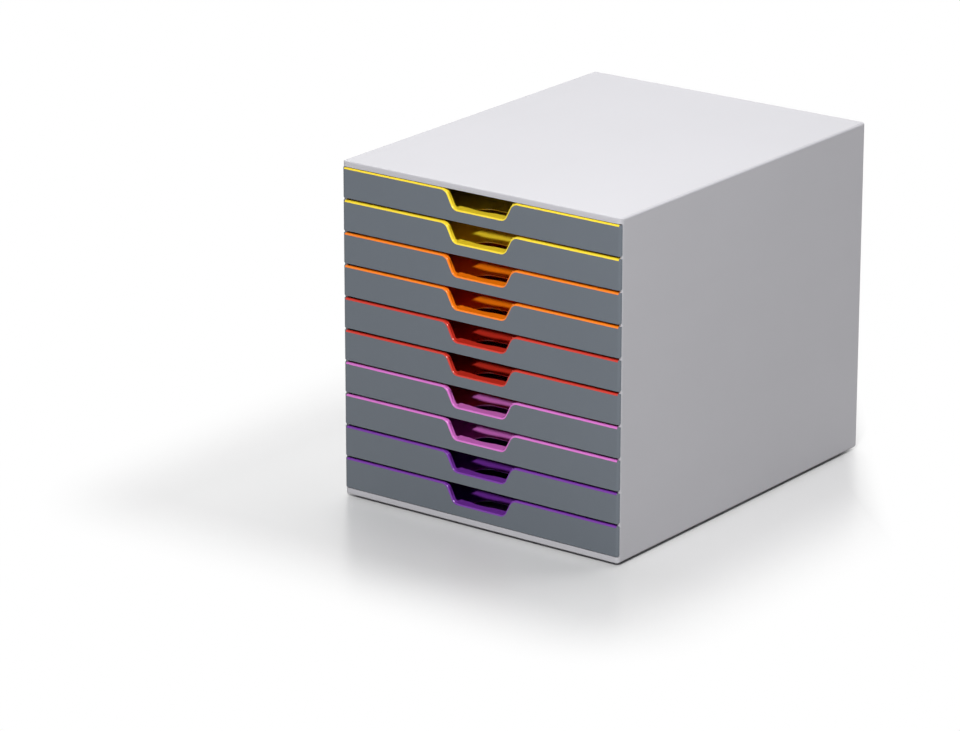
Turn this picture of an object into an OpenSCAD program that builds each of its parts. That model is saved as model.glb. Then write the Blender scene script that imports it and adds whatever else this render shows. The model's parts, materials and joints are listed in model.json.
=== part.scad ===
// Desktop drawer tower: a plastic casing that holds shallow sheet-size drawers.
// Each drawer is a coloured tray behind a grey front cover with a finger grip.
// Origin: centre of the footprint, at the underside of the feet. +X is to the
// right as seen from the front, +Y runs to the rear, +Z is up. Millimetres.

/* [Casing] */
// Outside width of the casing
casing_w = 280; // [260:2:320]
// Outside depth of the casing, front to rear
casing_d = 356; // [346:2:380]
// Thickness of the top, bottom and side walls
wall_t = 2.8; // [2.4:0.1:3.2]
// Radius of the casing's long outer edges
edge_r = 2.2; // [1.2:0.1:2.8]
// Radius of the casing's rear upright edges and of its lower rear edge
rear_r = 3; // [2:0.5:6]
// Radius of the lips' front corners, as seen from above
lip_corner_r = 4; // [2.5:0.5:5]
// Height of the bottom lip in front of the lowest drawer
base_lip_h = 5.3; // [4.6:0.1:7]
// Height of the top lip above the highest drawer
top_lip_h = 4.9; // [4.2:0.1:7]
// Depth of both lips, front to rear
lip_d = 5; // [4:0.5:8]
// Thickness of the panel that closes the rear
rear_t = 2.4; // [2:0.1:3]

/* [Feet] */
// Height of a rubber foot
foot_h = 2.5; // [2:0.5:4]
// Radius of a rubber foot
foot_r = 8; // [6:0.5:10]
// Distance of a foot's centre from the casing's sides, front and rear
foot_inset = 26; // [20:1:40]

/* [Drawers] */
// Number of drawers
drawer_count = 10; // [2:1:10]
// Height from one drawer to the next
drawer_pitch = 28; // [28:0.5:40]
// Travel of a drawer from shut to its stop
travel = 250; // [200:5:260]
// Thickness of the tray's walls and floor
tray_t = 1.8; // [1.6:0.1:2]
// Radius of the tray's upright corners
tray_corner_r = 6; // [4:0.5:8]

/* [Front covers] */
// Height of a front cover
cover_h = 24.4; // [24:0.1:25]
// Thickness of a front cover
cover_t = 2; // [1.8:0.1:2.4]
// Height of the coloured rim that shows above the cover
rim_h = 1.4; // [1:0.1:1.8]
// Width of the coloured rim round the finger grip
rim_face = 1.3; // [1:0.1:1.6]

/* [Finger grip] */
// Half of the grip's width at the top of the cover
grip_half_top = 34; // [30:1:40]
// Half of the grip's width at its bottom
grip_half_bottom = 26; // [22:1:30]
// Height of the grip's bottom above the cover's lower edge
grip_z = 8.8; // [7:0.1:11]
// Radius of the grip's corners
grip_r = 6.5; // [4:0.1:8]
// Depth of the coloured ledge that the finger pulls on
ledge_d = 10; // [8:0.5:12]

/* [Thumb hole] */
// Half of the width of the hole in the tray's floor
hole_half_w = 25; // [20:1:30]
// Distance of the hole's far edge behind the drawer's front
hole_far = 38.5; // [34:0.5:44]
// Radius of the hole's far corners
hole_r = 12; // [6:0.5:13]

/* [Hidden] */
$fn = 48;
arc_steps = 7;

casing_grey = [0.80, 0.80, 0.82];
cover_grey = [0.38, 0.41, 0.44];
rack_grey = [0.62, 0.62, 0.65];
rubber_black = [0.12, 0.12, 0.13];
tray_colours = [
    [0.96, 0.84, 0.10],
    [0.97, 0.50, 0.05],
    [0.78, 0.13, 0.08],
    [0.82, 0.35, 0.76],
    [0.36, 0.12, 0.55],
];
drawers_per_colour = 2;

// Planes and levels of the casing
half_w = casing_w / 2;
front_y = -casing_d / 2;
rear_y = casing_d / 2;
base_z = foot_h;
cover_side_gap = 0.3;
slide_gap = 0.3;
lip_gap = 0.7;
top_gap = 0.8;
drawer_h = cover_h + rim_h;
first_z = base_z + base_lip_h + lip_gap;
top_lip_z = first_z + (drawer_count - 1) * drawer_pitch + drawer_h + top_gap;
top_z = top_lip_z + top_lip_h;
inner_x = half_w - wall_t;
inner_z0 = base_z + wall_t;
inner_z1 = top_z - wall_t;

// The side walls stop behind the covers, which lie over their front edges
side_front_y = front_y + cover_t + cover_side_gap;

// Rear panel: it is pressed in against the rear ends of the racks
panel_inset = 0.8;
panel_gap = 0.2;
panel_y = rear_y - panel_inset - rear_t;

// Runner racks: a plate on each side wall with one ledge a drawer. Each side
// has an upper and a lower rack, which meet at rack_split_z
upper_count = floor(drawer_count / 2);
rack_split_z = first_z + (drawer_count - upper_count) * drawer_pitch;
rack_seam = 0.2;
rack_plate_t = 1.8;
rack_front_y = front_y + 7;
rack_rear_y = panel_y;
ledge_reach = 4.4;
ledge_t = 1.6;
rack_face_x = inner_x - rack_plate_t;
rack_tip_x = rack_face_x - ledge_reach;

// Trays: the side flange slides on the rack's ledge
tray_floor_z = 0.6;
tray_wall_h = cover_h;
flange_t = 1.8;
flange_gap_x = 0.6;
tray_side_x = rack_tip_x - flange_gap_x;
flange_x = rack_face_x - flange_gap_x;
flange_z = tray_wall_h - flange_t;
ledge_z = flange_z - slide_gap - ledge_t;
tray_front_y = front_y + cover_t;
tray_rear_y = rear_y - 9;
tray_rear_h = 21;
front_wall_half_w = inner_x - flange_gap_x;

// Stops: a lug at the tray's rear meets a block on the rack at full travel
stop_h = 6;
stop_len = 6;
stop_reach = 3.6;
stop_z = ledge_z - stop_h;
lug_reach = 3.2;
lug_y = tray_rear_y - tray_corner_r - stop_len;
lug_z = stop_z;
lug_h = stop_h - slide_gap;
stop_y = lug_y - travel - slide_gap - stop_len;

// Clips: tabs on the cover's back snap through slots in the tray's front
clip_xs = [-118, -60, 60, 118];
clip_z = 12;
clip_w = 10;
clip_t = 2;
clip_gap = 0.15;
clip_len = tray_t + 1.1;
barb_h = 0.7;
barb_len = 0.9;

// Ends of the cover's face, where it rounds back to the sides
cover_half_w = half_w - cover_side_gap;
cover_end_w = 3.4;
cover_foot_r = 1.5;
rim_half_w = half_w - 2.4;

// Grip slopes, as an angle from the vertical
grip_slope = atan((grip_half_top - grip_half_bottom) / (cover_h - grip_z));

function two_digits(number) = number < 10 ? str("0", number) : str(number);
function tray_name(number) = str("tray_", two_digits(number));
function cover_name(number) = str("front_cover_", two_digits(number));

// Underside level of a drawer's cover; drawer 1 is the highest
function drawer_z(number) = first_z + (drawer_count - number) * drawer_pitch;
function tray_colour(number) = tray_colours[floor((number - 1) / drawers_per_colour) % len(tray_colours)];

function unit(v) = v / norm(v);

// Points of the arc that rounds the corner b of the path a, b, c
function corner_arc(a, b, c, r) =
    let (
        to_a = unit(a - b),
        to_c = unit(c - b),
        half_angle = acos(to_a * to_c) / 2,
        centre = b + unit(to_a + to_c) * r / sin(half_angle),
        first = b + to_a * r / tan(half_angle) - centre,
        last = b + to_c * r / tan(half_angle) - centre,
        start_angle = atan2(first.y, first.x),
        sweep = (atan2(last.y, last.x) - start_angle + 540) % 360 - 180
    )
    [
        for (step = [0 : arc_steps])
            centre + r * [
                cos(start_angle + sweep * step / arc_steps),
                sin(start_angle + sweep * step / arc_steps)
            ]
    ];

// Half width of the grip at height z, with its outline moved in by inset
function grip_half(z, inset) =
    grip_half_bottom + (z - grip_z) * tan(grip_slope) - inset / cos(grip_slope);

// The grip's outline from its upper left to its upper right corner
function grip_path(top, inset) =
    let (
        low = grip_z + inset,
        upper = grip_half(top, inset),
        lower = grip_half(low, inset),
        far_left = [-upper - 3 * grip_r, top],
        upper_left = [-upper, top],
        lower_left = [-lower, low],
        lower_right = [lower, low],
        upper_right = [upper, top],
        far_right = [upper + 3 * grip_r, top]
    )
    concat(
        corner_arc(far_left, upper_left, lower_left, grip_r + inset),
        corner_arc(upper_left, lower_left, lower_right, grip_r - inset),
        corner_arc(lower_left, lower_right, upper_right, grip_r - inset),
        corner_arc(lower_right, upper_right, far_right, grip_r + inset)
    );

// Upright front outline, notched for the grip
module front_outline(half, bottom, top, inset) {
    polygon(concat(
        [[half, bottom], [-half, bottom], [-half, top]],
        grip_path(top, inset),
        [[half, top]]
    ));
}

// Rectangle from low to high whose corners have the radii of
// [lower left, lower right, upper right, upper left]
module rounded_rect(low, high, radii) {
    corners = [low, [high.x, low.y], high, [low.x, high.y]];
    difference() {
        translate(low) square(high - low);
        for (corner = [0 : 3])
            translate(corners[corner])
                rotate(90 * corner)
                    corner_waste(radii[corner]);
    }
}

// What a lower left corner rounded to radius r loses
module corner_waste(r) {
    overlap = 1;
    difference() {
        translate([-overlap, -overlap]) square(r + overlap);
        translate([r, r]) circle(r);
    }
}

// Extrudes an upright outline, drawn in X and Z, from y0 to y1
module along_y(y0, y1) {
    translate([0, y1, 0]) rotate([90, 0, 0]) linear_extrude(y1 - y0) children();
}

// Extrudes a side outline, drawn in Y and Z, from x0 to x1
module along_x(x0, x1) {
    translate([x0, 0, 0]) rotate([90, 0, 90]) linear_extrude(x1 - x0) children();
}

module box(low, high) {
    translate(low) cube(high - low);
}

// Places a shape drawn for the right side on side 1, or mirrored on side -1
module on_side(side) {
    if (side < 0)
        mirror([1, 0, 0]) children();
    else
        children();
}

// The casing's outer form from plane y0 to the rear, its edges rounded, and
// its front upright edges to front_r
module casing_form(y0, front_r) {
    intersection() {
        along_y(y0, rear_y)
            rounded_rect([-half_w, base_z], [half_w, top_z], [edge_r, edge_r, edge_r, edge_r]);
        along_x(-half_w, half_w)
            rounded_rect([y0, base_z], [rear_y, top_z], [edge_r / 2, rear_r, edge_r, edge_r / 2]);
        translate([0, 0, base_z])
            linear_extrude(top_z - base_z)
                rounded_rect([-half_w, y0], [half_w, rear_y], [front_r, front_r, rear_r, rear_r]);
    }
}

// Top, bottom and sides in one moulding, with a lip above and below the drawers
module casing_shell() {
    past = 1;
    color(casing_grey) {
        difference() {
            casing_form(side_front_y, edge_r);
            box([-inner_x, side_front_y - past, inner_z0], [inner_x, rear_y + past, inner_z1]);
        }
        intersection() {
            casing_form(front_y, lip_corner_r);
            union() {
                box([-half_w, front_y, base_z], [half_w, front_y + lip_d, base_z + base_lip_h]);
                box([-half_w, front_y, top_lip_z], [half_w, front_y + lip_d, top_z]);
            }
        }
    }
}

// Flat panel that closes the casing behind the drawers
module rear_panel() {
    color(casing_grey)
        along_y(panel_y, panel_y + rear_t)
            rounded_rect(
                [-inner_x + panel_gap, inner_z0 + panel_gap],
                [inner_x - panel_gap, inner_z1 - panel_gap],
                [1, 1, 1, 1]
            );
}

// Plate from level z0 to z1, with a ledge and a stop block for each drawer from
// first to last; side is -1 left, 1 right
module runner_rack(side, first, last, z0, z1) {
    color(rack_grey)
        on_side(side) {
            box([rack_face_x, rack_front_y, z0], [inner_x, rack_rear_y, z1]);
            for (number = [first : last])
                translate([0, 0, drawer_z(number)]) {
                    box(
                        [rack_tip_x, rack_front_y, ledge_z],
                        [rack_face_x, rack_rear_y, ledge_z + ledge_t]
                    );
                    box(
                        [rack_face_x - stop_reach, stop_y, stop_z],
                        [rack_face_x, stop_y + stop_len, ledge_z]
                    );
                }
        }
}

module upper_rack(side) {
    runner_rack(side, 1, upper_count, rack_split_z + rack_seam / 2, inner_z1);
}

module lower_rack(side) {
    runner_rack(side, upper_count + 1, drawer_count, inner_z0, rack_split_z - rack_seam / 2);
}

module left_upper_rack() {
    upper_rack(-1);
}

module left_lower_rack() {
    lower_rack(-1);
}

module right_upper_rack() {
    upper_rack(1);
}

module right_lower_rack() {
    lower_rack(1);
}

// Rubber disc under one corner; side_x and side_y are -1 or 1
module foot(side_x, side_y) {
    chamfer = 0.6;
    color(rubber_black)
        translate([side_x * (half_w - foot_inset), side_y * (rear_y - foot_inset), 0])
            rotate_extrude()
                polygon([
                    [0, 0],
                    [foot_r - chamfer, 0],
                    [foot_r, chamfer],
                    [foot_r, foot_h],
                    [0, foot_h],
                ]);
}

module front_left_foot() {
    foot(-1, -1);
}

module front_right_foot() {
    foot(1, -1);
}

module rear_left_foot() {
    foot(-1, 1);
}

module rear_right_foot() {
    foot(1, 1);
}

// Front view of a cover: the face and the two ends that rise beside the rim
module cover_outline() {
    front_outline(cover_half_w, 0, cover_h, 0);
    for (side = [-1, 1])
        translate([side * (rim_half_w + cover_half_w) / 2, drawer_h / 2])
            square([cover_half_w - rim_half_w, drawer_h], center = true);
}

// Plan of a cover: a plate whose ends round back over an elliptical quarter
module cover_plan() {
    flat_half = cover_half_w - cover_end_w;
    polygon([
        for (step = [0 : arc_steps])
            let (turn = 90 * step / arc_steps)
            [flat_half + cover_end_w * sin(turn), front_y + cover_t * (1 - cos(turn))],
        for (step = [0 : arc_steps])
            let (turn = 90 - 90 * step / arc_steps)
            [-flat_half - cover_end_w * sin(turn), front_y + cover_t * (1 - cos(turn))],
    ]);
}

// Grey cover of one drawer, with the clips that hold it on its tray
module front_cover(number) {
    past = 1;
    color(cover_grey)
        translate([0, 0, drawer_z(number)]) {
            intersection() {
                along_y(front_y, front_y + cover_t) cover_outline();
                translate([0, 0, -past]) linear_extrude(drawer_h + 2 * past) cover_plan();
                along_y(front_y, front_y + cover_t)
                    rounded_rect(
                        [-cover_half_w, 0],
                        [cover_half_w, drawer_h],
                        [cover_foot_r, cover_foot_r, 0.3, 0.3]
                    );
            }
            for (x = clip_xs)
                translate([x - clip_w / 2, tray_front_y, clip_z]) {
                    cube([clip_w, clip_len, clip_t]);
                    translate([0, tray_t + clip_gap, -barb_h]) cube([clip_w, barb_len, barb_h]);
                }
        }
}

// Plan of the hole in the tray's floor, just behind the ledge
module thumb_hole_plan() {
    rounded_rect(
        [-hole_half_w, front_y + ledge_d],
        [hole_half_w, front_y + hole_far],
        [2, 2, hole_r, hole_r]
    );
}

// Slots in the tray's front for the cover's clips
module clip_slots() {
    past = 1;
    for (x = clip_xs)
        box(
            [x - clip_w / 2 - clip_gap, tray_front_y - past, clip_z - barb_h - clip_gap],
            [x + clip_w / 2 + clip_gap, tray_front_y + tray_t + past, clip_z + clip_t + clip_gap]
        );
}

// Front wall of the tray, with the rim that caps the cover and lines its grip
module tray_front() {
    difference() {
        along_y(tray_front_y, tray_front_y + tray_t)
            front_outline(front_wall_half_w, tray_floor_z, drawer_h, rim_face);
        clip_slots();
    }
    along_y(front_y, tray_front_y)
        difference() {
            front_outline(rim_half_w, 0, drawer_h, rim_face);
            cover_outline();
        }
    along_y(front_y, front_y + ledge_d)
        intersection() {
            difference() {
                front_outline(rim_half_w, 0, drawer_h, rim_face);
                front_outline(rim_half_w, 0, drawer_h, 0);
            }
            translate([-grip_half_top, grip_z]) square([2 * grip_half_top, rim_face]);
        }
}

// Floor and walls behind the front, with the flanges that ride on the racks
module tray_body() {
    past = 1;
    inner_r = tray_corner_r - tray_t;
    difference() {
        union() {
            translate([0, 0, tray_floor_z])
                linear_extrude(tray_wall_h - tray_floor_z)
                    rounded_rect(
                        [-tray_side_x, tray_front_y],
                        [tray_side_x, tray_rear_y],
                        [0.5, 0.5, tray_corner_r, tray_corner_r]
                    );
            box(
                [-flange_x, rack_front_y, flange_z],
                [flange_x, tray_rear_y - tray_corner_r, tray_wall_h]
            );
        }
        translate([0, 0, tray_floor_z + tray_t])
            linear_extrude(tray_wall_h)
                rounded_rect(
                    [-tray_side_x + tray_t, tray_front_y - past],
                    [tray_side_x - tray_t, tray_rear_y - tray_t],
                    [0.5, 0.5, inner_r, inner_r]
                );
        box(
            [-tray_side_x + tray_corner_r, tray_rear_y - tray_t - past, tray_rear_h],
            [tray_side_x - tray_corner_r, tray_rear_y + past, tray_wall_h + past]
        );
        translate([0, 0, tray_floor_z - past])
            linear_extrude(tray_t + 2 * past)
                thumb_hole_plan();
    }
    for (side = [-1, 1])
        on_side(side)
            box(
                [tray_side_x - tray_t / 2, lug_y, lug_z],
                [tray_side_x + lug_reach, lug_y + stop_len, lug_z + lug_h]
            );
}

// Coloured tray of one drawer
module tray(number) {
    color(tray_colour(number))
        translate([0, 0, drawer_z(number)]) {
            tray_front();
            tray_body();
        }
}

casing_shell();
rear_panel();
left_upper_rack();
left_lower_rack();
right_upper_rack();
right_lower_rack();
front_left_foot();
front_right_foot();
rear_left_foot();
rear_right_foot();
for (number = [1 : drawer_count]) {
    tray(number);
    front_cover(number);
}
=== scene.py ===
"""Looks of the desktop drawer tower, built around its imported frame.

The casing shell, its rear panel, the feet, the ten coloured trays and their grey
covers are modelled here at the frame's own sizes. The four runner racks, which
hardly show, keep the frame's own solids. All are dressed in moulded plastic and
set on a pale studio floor. Sizes are millimetres unless a comment says
otherwise; Blender's own unit, the metre, is reached through MM.
"""

import json
import logging
import math
from collections.abc import Callable, Sequence
from dataclasses import dataclass, field
from enum import Enum

import bmesh
import bpy
from mathutils import Matrix, Vector

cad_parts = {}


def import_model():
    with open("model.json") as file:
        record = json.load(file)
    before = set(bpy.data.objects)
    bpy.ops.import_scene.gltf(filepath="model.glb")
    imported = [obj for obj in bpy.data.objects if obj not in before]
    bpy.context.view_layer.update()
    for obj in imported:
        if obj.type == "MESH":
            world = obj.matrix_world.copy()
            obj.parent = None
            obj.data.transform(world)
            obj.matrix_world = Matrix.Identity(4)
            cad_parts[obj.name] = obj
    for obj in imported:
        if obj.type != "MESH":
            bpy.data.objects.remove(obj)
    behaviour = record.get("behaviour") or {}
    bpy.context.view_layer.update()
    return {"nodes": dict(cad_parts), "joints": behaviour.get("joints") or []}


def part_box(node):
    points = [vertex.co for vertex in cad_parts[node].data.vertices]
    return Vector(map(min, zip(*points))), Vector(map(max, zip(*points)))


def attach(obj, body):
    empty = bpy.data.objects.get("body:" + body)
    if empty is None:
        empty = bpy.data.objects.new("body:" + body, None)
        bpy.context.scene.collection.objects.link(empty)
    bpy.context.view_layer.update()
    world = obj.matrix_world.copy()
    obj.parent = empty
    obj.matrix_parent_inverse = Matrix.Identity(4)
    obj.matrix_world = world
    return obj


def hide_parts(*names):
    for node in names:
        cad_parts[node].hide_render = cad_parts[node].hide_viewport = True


LOG = logging.getLogger("drawer_tower")

MM = 0.001
TOUCH = 0.05  # Points closer than this count as one place.
FACING = 0.9  # The least cosine at which a face looks a given way.
MERGE = 0.002  # Corners closer than this are merged.
FLAT_ANGLE = math.radians(0.05)  # Faces within this angle are one plane.
BREAK_ANGLE = math.radians(28)  # Edges sharper than this are broken.
CORNER_ANGLE = math.radians(40)  # Edges sharper than this stay sharp in the shading.
FACE_LEAD = 90  # How far, out of 100, large faces lead the shading.
FEW_FLATS = 4  # The number of flats in a small rounding.

Point = tuple[float, float, float]
Colour = tuple[float, float, float]
EdgeTest = Callable[[Vector, Vector], bool]
FaceTest = Callable[[Vector, Vector], bool]


class Axis(Enum):
    """A direction of the row frame."""

    X = 0
    Y = 1
    Z = 2


class Blend(Enum):
    """What one solid does to another."""

    CUT = "DIFFERENCE"
    FUSE = "UNION"


class Side(Enum):
    """The tower's two sides, seen from the front."""

    LEFT = -1
    RIGHT = 1


def edges_along(axis: Axis, spots: Sequence[tuple[float, float]]) -> EdgeTest:
    """Makes a test for straight edges that run along an axis.

    Args:
        axis: The direction of the edges.
        spots: Where they stand, by their other two coordinates in X, Y, Z order.

    Returns:
        A test of an edge's two ends, in millimetres.
    """
    others = [member.value for member in Axis if member is not axis]

    def test(start: Vector, end: Vector) -> bool:
        """Tells whether an edge stands on one of the spots."""
        for spot in spots:
            ends = (abs(p[o] - s) < TOUCH for p in (start, end) for o, s in zip(others, spot))
            if all(ends):
                return True
        return False

    return test


def faces_towards(normal: Point, low: Point, high: Point) -> FaceTest:
    """Makes a test for faces that look one way and have their middle in a box.

    Args:
        normal: The way the faces look.
        low: The box's lowest corner.
        high: The box's highest corner.

    Returns:
        A test of a face's middle, in millimetres, and of its normal.
    """
    facing = Vector(normal)

    def test(middle: Vector, way: Vector) -> bool:
        """Tells whether a face is in the box and looks the right way."""
        inside = all(l - TOUCH <= c <= h + TOUCH for l, c, h in zip(low, middle, high))
        return inside and way.dot(facing) > FACING

    return test


def any_face(middle: Vector, way: Vector) -> bool:
    """Passes every face."""
    return True


class Workpiece:
    """One solid on the bench, shaped with Blender's own mesh tools."""

    def __init__(self, name: str, low: Point, high: Point) -> None:
        """Starts the solid as a block.

        Args:
            name: The object's name.
            low: The block's lowest corner.
            high: The block's highest corner.
        """
        bpy.ops.object.select_all(action="DESELECT")
        middle = [(l + h) / 2 * MM for l, h in zip(low, high)]
        size = [(h - l) * MM for l, h in zip(low, high)]
        bpy.ops.mesh.primitive_cube_add(size=1, location=middle, scale=size)
        self._adopt(name)

    @classmethod
    def disc(cls, name: str, middle: Point, radius: float, height: float, sides: int) -> "Workpiece":
        """Starts a solid as an upright disc.

        Args:
            name: The object's name.
            middle: The middle of the disc.
            radius: Its radius.
            height: Its height.
            sides: The number of its flat sides.

        Returns:
            The new workpiece.
        """
        bpy.ops.object.select_all(action="DESELECT")
        bpy.ops.mesh.primitive_cylinder_add(
            vertices=sides,
            radius=radius * MM,
            depth=height * MM,
            location=[c * MM for c in middle],
        )
        piece = cls.__new__(cls)
        piece._adopt(name)
        return piece

    def _adopt(self, name: str) -> None:
        """Takes the object that was just added and puts its place into its mesh.

        Args:
            name: The object's name.
        """
        self.object = bpy.context.active_object
        self.object.name = name
        self.object.data.name = name
        bpy.ops.object.transform_apply(location=True, rotation=True, scale=True)

    def _edit(self, mode: str) -> bmesh.types.BMesh:
        """Opens the mesh in edit mode with nothing selected.

        Args:
            mode: VERT, EDGE or FACE.

        Returns:
            The mesh as it is being edited.
        """
        bpy.ops.object.select_all(action="DESELECT")
        self.object.select_set(True)
        bpy.context.view_layer.objects.active = self.object
        bpy.ops.object.mode_set(mode="EDIT")
        bpy.ops.mesh.select_mode(type=mode)
        bpy.ops.mesh.select_all(action="DESELECT")
        return bmesh.from_edit_mesh(self.object.data)

    def _pick_edges(self, test: EdgeTest) -> int:
        """Selects edges by the place of their ends.

        Args:
            test: Which edges to select.

        Returns:
            How many were selected.
        """
        mesh = self._edit("EDGE")
        picked = [e for e in mesh.edges if test(e.verts[0].co / MM, e.verts[1].co / MM)]
        for edge in picked:
            edge.select_set(True)
        bmesh.update_edit_mesh(self.object.data)
        return len(picked)

    def _pick_faces(self, test: FaceTest) -> int:
        """Selects faces by their middle and normal.

        Args:
            test: Which faces to select.

        Returns:
            How many were selected.
        """
        mesh = self._edit("FACE")
        picked = [f for f in mesh.faces if test(f.calc_center_median() / MM, f.normal)]
        for face in picked:
            face.select_set(True)
        bmesh.update_edit_mesh(self.object.data)
        return len(picked)

    @staticmethod
    def _close() -> None:
        """Leaves edit mode."""
        bpy.ops.object.mode_set(mode="OBJECT")

    def round_edges(self, test: EdgeTest, setback: float, segments: int = 7) -> "Workpiece":
        """Rounds the edges that pass a test.

        Args:
            test: Which edges to round.
            setback: How far from the edge the rounding starts. It equals the
                radius at a square corner.
            segments: The number of flats in the rounding.

        Returns:
            This workpiece.
        """
        count = self._pick_edges(test)
        if not count:
            raise ValueError(f"{self.object.name} has no such edge to round")
        bpy.ops.mesh.bevel(
            offset=setback * MM,
            offset_type="OFFSET",
            segments=segments,
            profile=0.5,
            affect="EDGES",
            clamp_overlap=False,
        )
        self._close()
        return self

    def split(self, axis: Axis, levels: Sequence[float]) -> "Workpiece":
        """Scores the surface all round at levels along an axis.

        Args:
            axis: The axis that the cuts are square to.
            levels: Where the cuts go.

        Returns:
            This workpiece.
        """
        normal = [0.0, 0.0, 0.0]
        normal[axis.value] = 1.0
        for level in levels:
            self._edit("FACE")
            bpy.ops.mesh.select_all(action="SELECT")
            place = [c * level * MM for c in normal]
            bpy.ops.mesh.bisect(plane_co=place, plane_no=normal)
            self._close()
        return self

    def pull(self, test: FaceTest, by: Point) -> "Workpiece":
        """Extrudes the faces that pass a test.

        Args:
            test: Which faces to extrude.
            by: How far, and which way.

        Returns:
            This workpiece.
        """
        count = self._pick_faces(test)
        if not count:
            raise ValueError(f"{self.object.name} has no such face to pull")
        move = {"value": [c * MM for c in by]}
        bpy.ops.mesh.extrude_region_move(TRANSFORM_OT_translate=move)
        self._close()
        return self

    def inset(self, test: FaceTest, thickness: float) -> "Workpiece":
        """Insets the faces that pass a test.

        Args:
            test: Which faces to inset.
            thickness: How far.

        Returns:
            This workpiece.
        """
        count = self._pick_faces(test)
        if not count:
            raise ValueError(f"{self.object.name} has no such face to inset")
        bpy.ops.mesh.inset(thickness=thickness * MM, depth=0, use_even_offset=True)
        self._close()
        return self

    def stretch(self, test: FaceTest, factors: Point, about: Point) -> "Workpiece":
        """Scales the faces that pass a test about a point.

        Args:
            test: Which faces to scale.
            factors: The scale along each axis.
            about: The point that stays.

        Returns:
            This workpiece.
        """
        self._pick_faces(test)
        centre = [c * MM for c in about]
        bpy.ops.transform.resize(value=factors, center_override=centre)
        self._close()
        return self

    def combine(self, tool: "Workpiece", blend: Blend) -> "Workpiece":
        """Cuts or fuses this solid with another, which is used up.

        Args:
            tool: The other solid.
            blend: What it does to this one.

        Returns:
            This workpiece.
        """
        self._select()
        modifier = self.object.modifiers.new("combine", "BOOLEAN")
        modifier.operation = blend.value
        modifier.solver = "EXACT"
        modifier.object = tool.object
        bpy.ops.object.modifier_apply(modifier=modifier.name)
        tool.scrap()
        return self.tidy()

    def tidy(self) -> "Workpiece":
        """Merges doubles and joins faces that lie in one plane.

        Returns:
            This workpiece.
        """
        self._edit("VERT")
        bpy.ops.mesh.select_all(action="SELECT")
        bpy.ops.mesh.remove_doubles(threshold=MERGE * MM)
        bpy.ops.mesh.dissolve_limited(angle_limit=FLAT_ANGLE)
        bpy.ops.mesh.normals_make_consistent(inside=False)
        self._close()
        return self

    def soften(self, width: float, segments: int = 2) -> "Workpiece":
        """Breaks every sharp edge and evens the shading.

        Blender narrows all the broken edges of a solid to what its closest
        corners leave room for. The covers and the trays have corners only 0.01
        apart, so their edges come out some thousandths wide and look sharp.

        Args:
            width: The width of the broken edge, where nothing narrows it.
            segments: The number of flats across it.

        Returns:
            This workpiece.
        """
        self._select()
        bpy.ops.object.shade_smooth()
        bevel = self.object.modifiers.new("broken_edges", "BEVEL")
        bevel.width = width * MM
        bevel.segments = segments
        bevel.limit_method = "ANGLE"
        bevel.angle_limit = BREAK_ANGLE
        bevel.use_clamp_overlap = True
        bevel.miter_outer = "MITER_ARC"
        bpy.ops.object.modifier_apply(modifier=bevel.name)
        return self.even()

    def even(self) -> "Workpiece":
        """Lets the large faces lead the shading and keeps true corners sharp.

        Returns:
            This workpiece.
        """
        self._select()
        bpy.ops.object.shade_smooth_by_angle(angle=CORNER_ANGLE)
        evened = self.object.modifiers.new("even_shading", "WEIGHTED_NORMAL")
        evened.weight = FACE_LEAD
        evened.keep_sharp = True
        bpy.ops.object.modifier_apply(modifier=evened.name)
        return self

    def copy_to(self, name: str, lift: float) -> "Workpiece":
        """Copies the solid with a mesh of its own.

        Args:
            name: The copy's name.
            lift: How far the copy is raised.

        Returns:
            The copy.
        """
        self._select()
        bpy.ops.object.duplicate(linked=False)
        bpy.ops.transform.translate(value=(0, 0, lift * MM))
        twin = Workpiece.__new__(Workpiece)
        twin._adopt(name)
        return twin

    def _select(self) -> None:
        """Makes this the only selected object."""
        bpy.ops.object.select_all(action="DESELECT")
        self.object.select_set(True)
        bpy.context.view_layer.objects.active = self.object

    def scrap(self) -> None:
        """Removes the solid from the bench."""
        bpy.data.objects.remove(self.object, do_unlink=True)


def linear(red: int, green: int, blue: int) -> Colour:
    """Turns a screen colour into the linear colour that a shader takes.

    Args:
        red: The red value, from 0 to 255.
        green: The green value.
        blue: The blue value.

    Returns:
        The linear colour.
    """

    def decode(value: int) -> float:
        """Turns one screen value into a linear one."""
        share = value / 255
        return share / 12.92 if share <= 0.04045 else ((share + 0.055) / 1.055) ** 2.4

    return decode(red), decode(green), decode(blue)


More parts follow.
